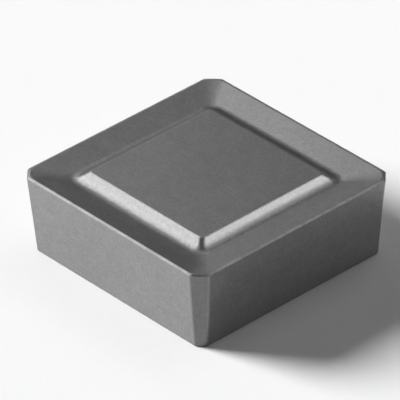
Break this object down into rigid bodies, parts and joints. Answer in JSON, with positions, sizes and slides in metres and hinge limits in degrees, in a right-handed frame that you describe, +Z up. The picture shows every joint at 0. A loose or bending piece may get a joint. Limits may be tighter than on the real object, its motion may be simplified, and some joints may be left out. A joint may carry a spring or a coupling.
{
  "type": "carbide insert",
  "caption": "Square cemented carbide insert with leaning flanks, a flat across each corner, no hole, and a chipbreaker groove all round a raised flat island.",
  "frame": {"origin": "centre of the seat face, on the insert's axis", "axes": "+Z up along the insert's axis, from the seat face to the chipbreaker face; X and Y square to the cutting edges"},
  "size_m": [0.019, 0.019, 0.0066],
  "materials": {
    "carbide": "satin, as sintered, with a fine grain"
  },
  "bodies": {
    "root": {"insert_body": "carbide"}
  },
  "joints": []
}
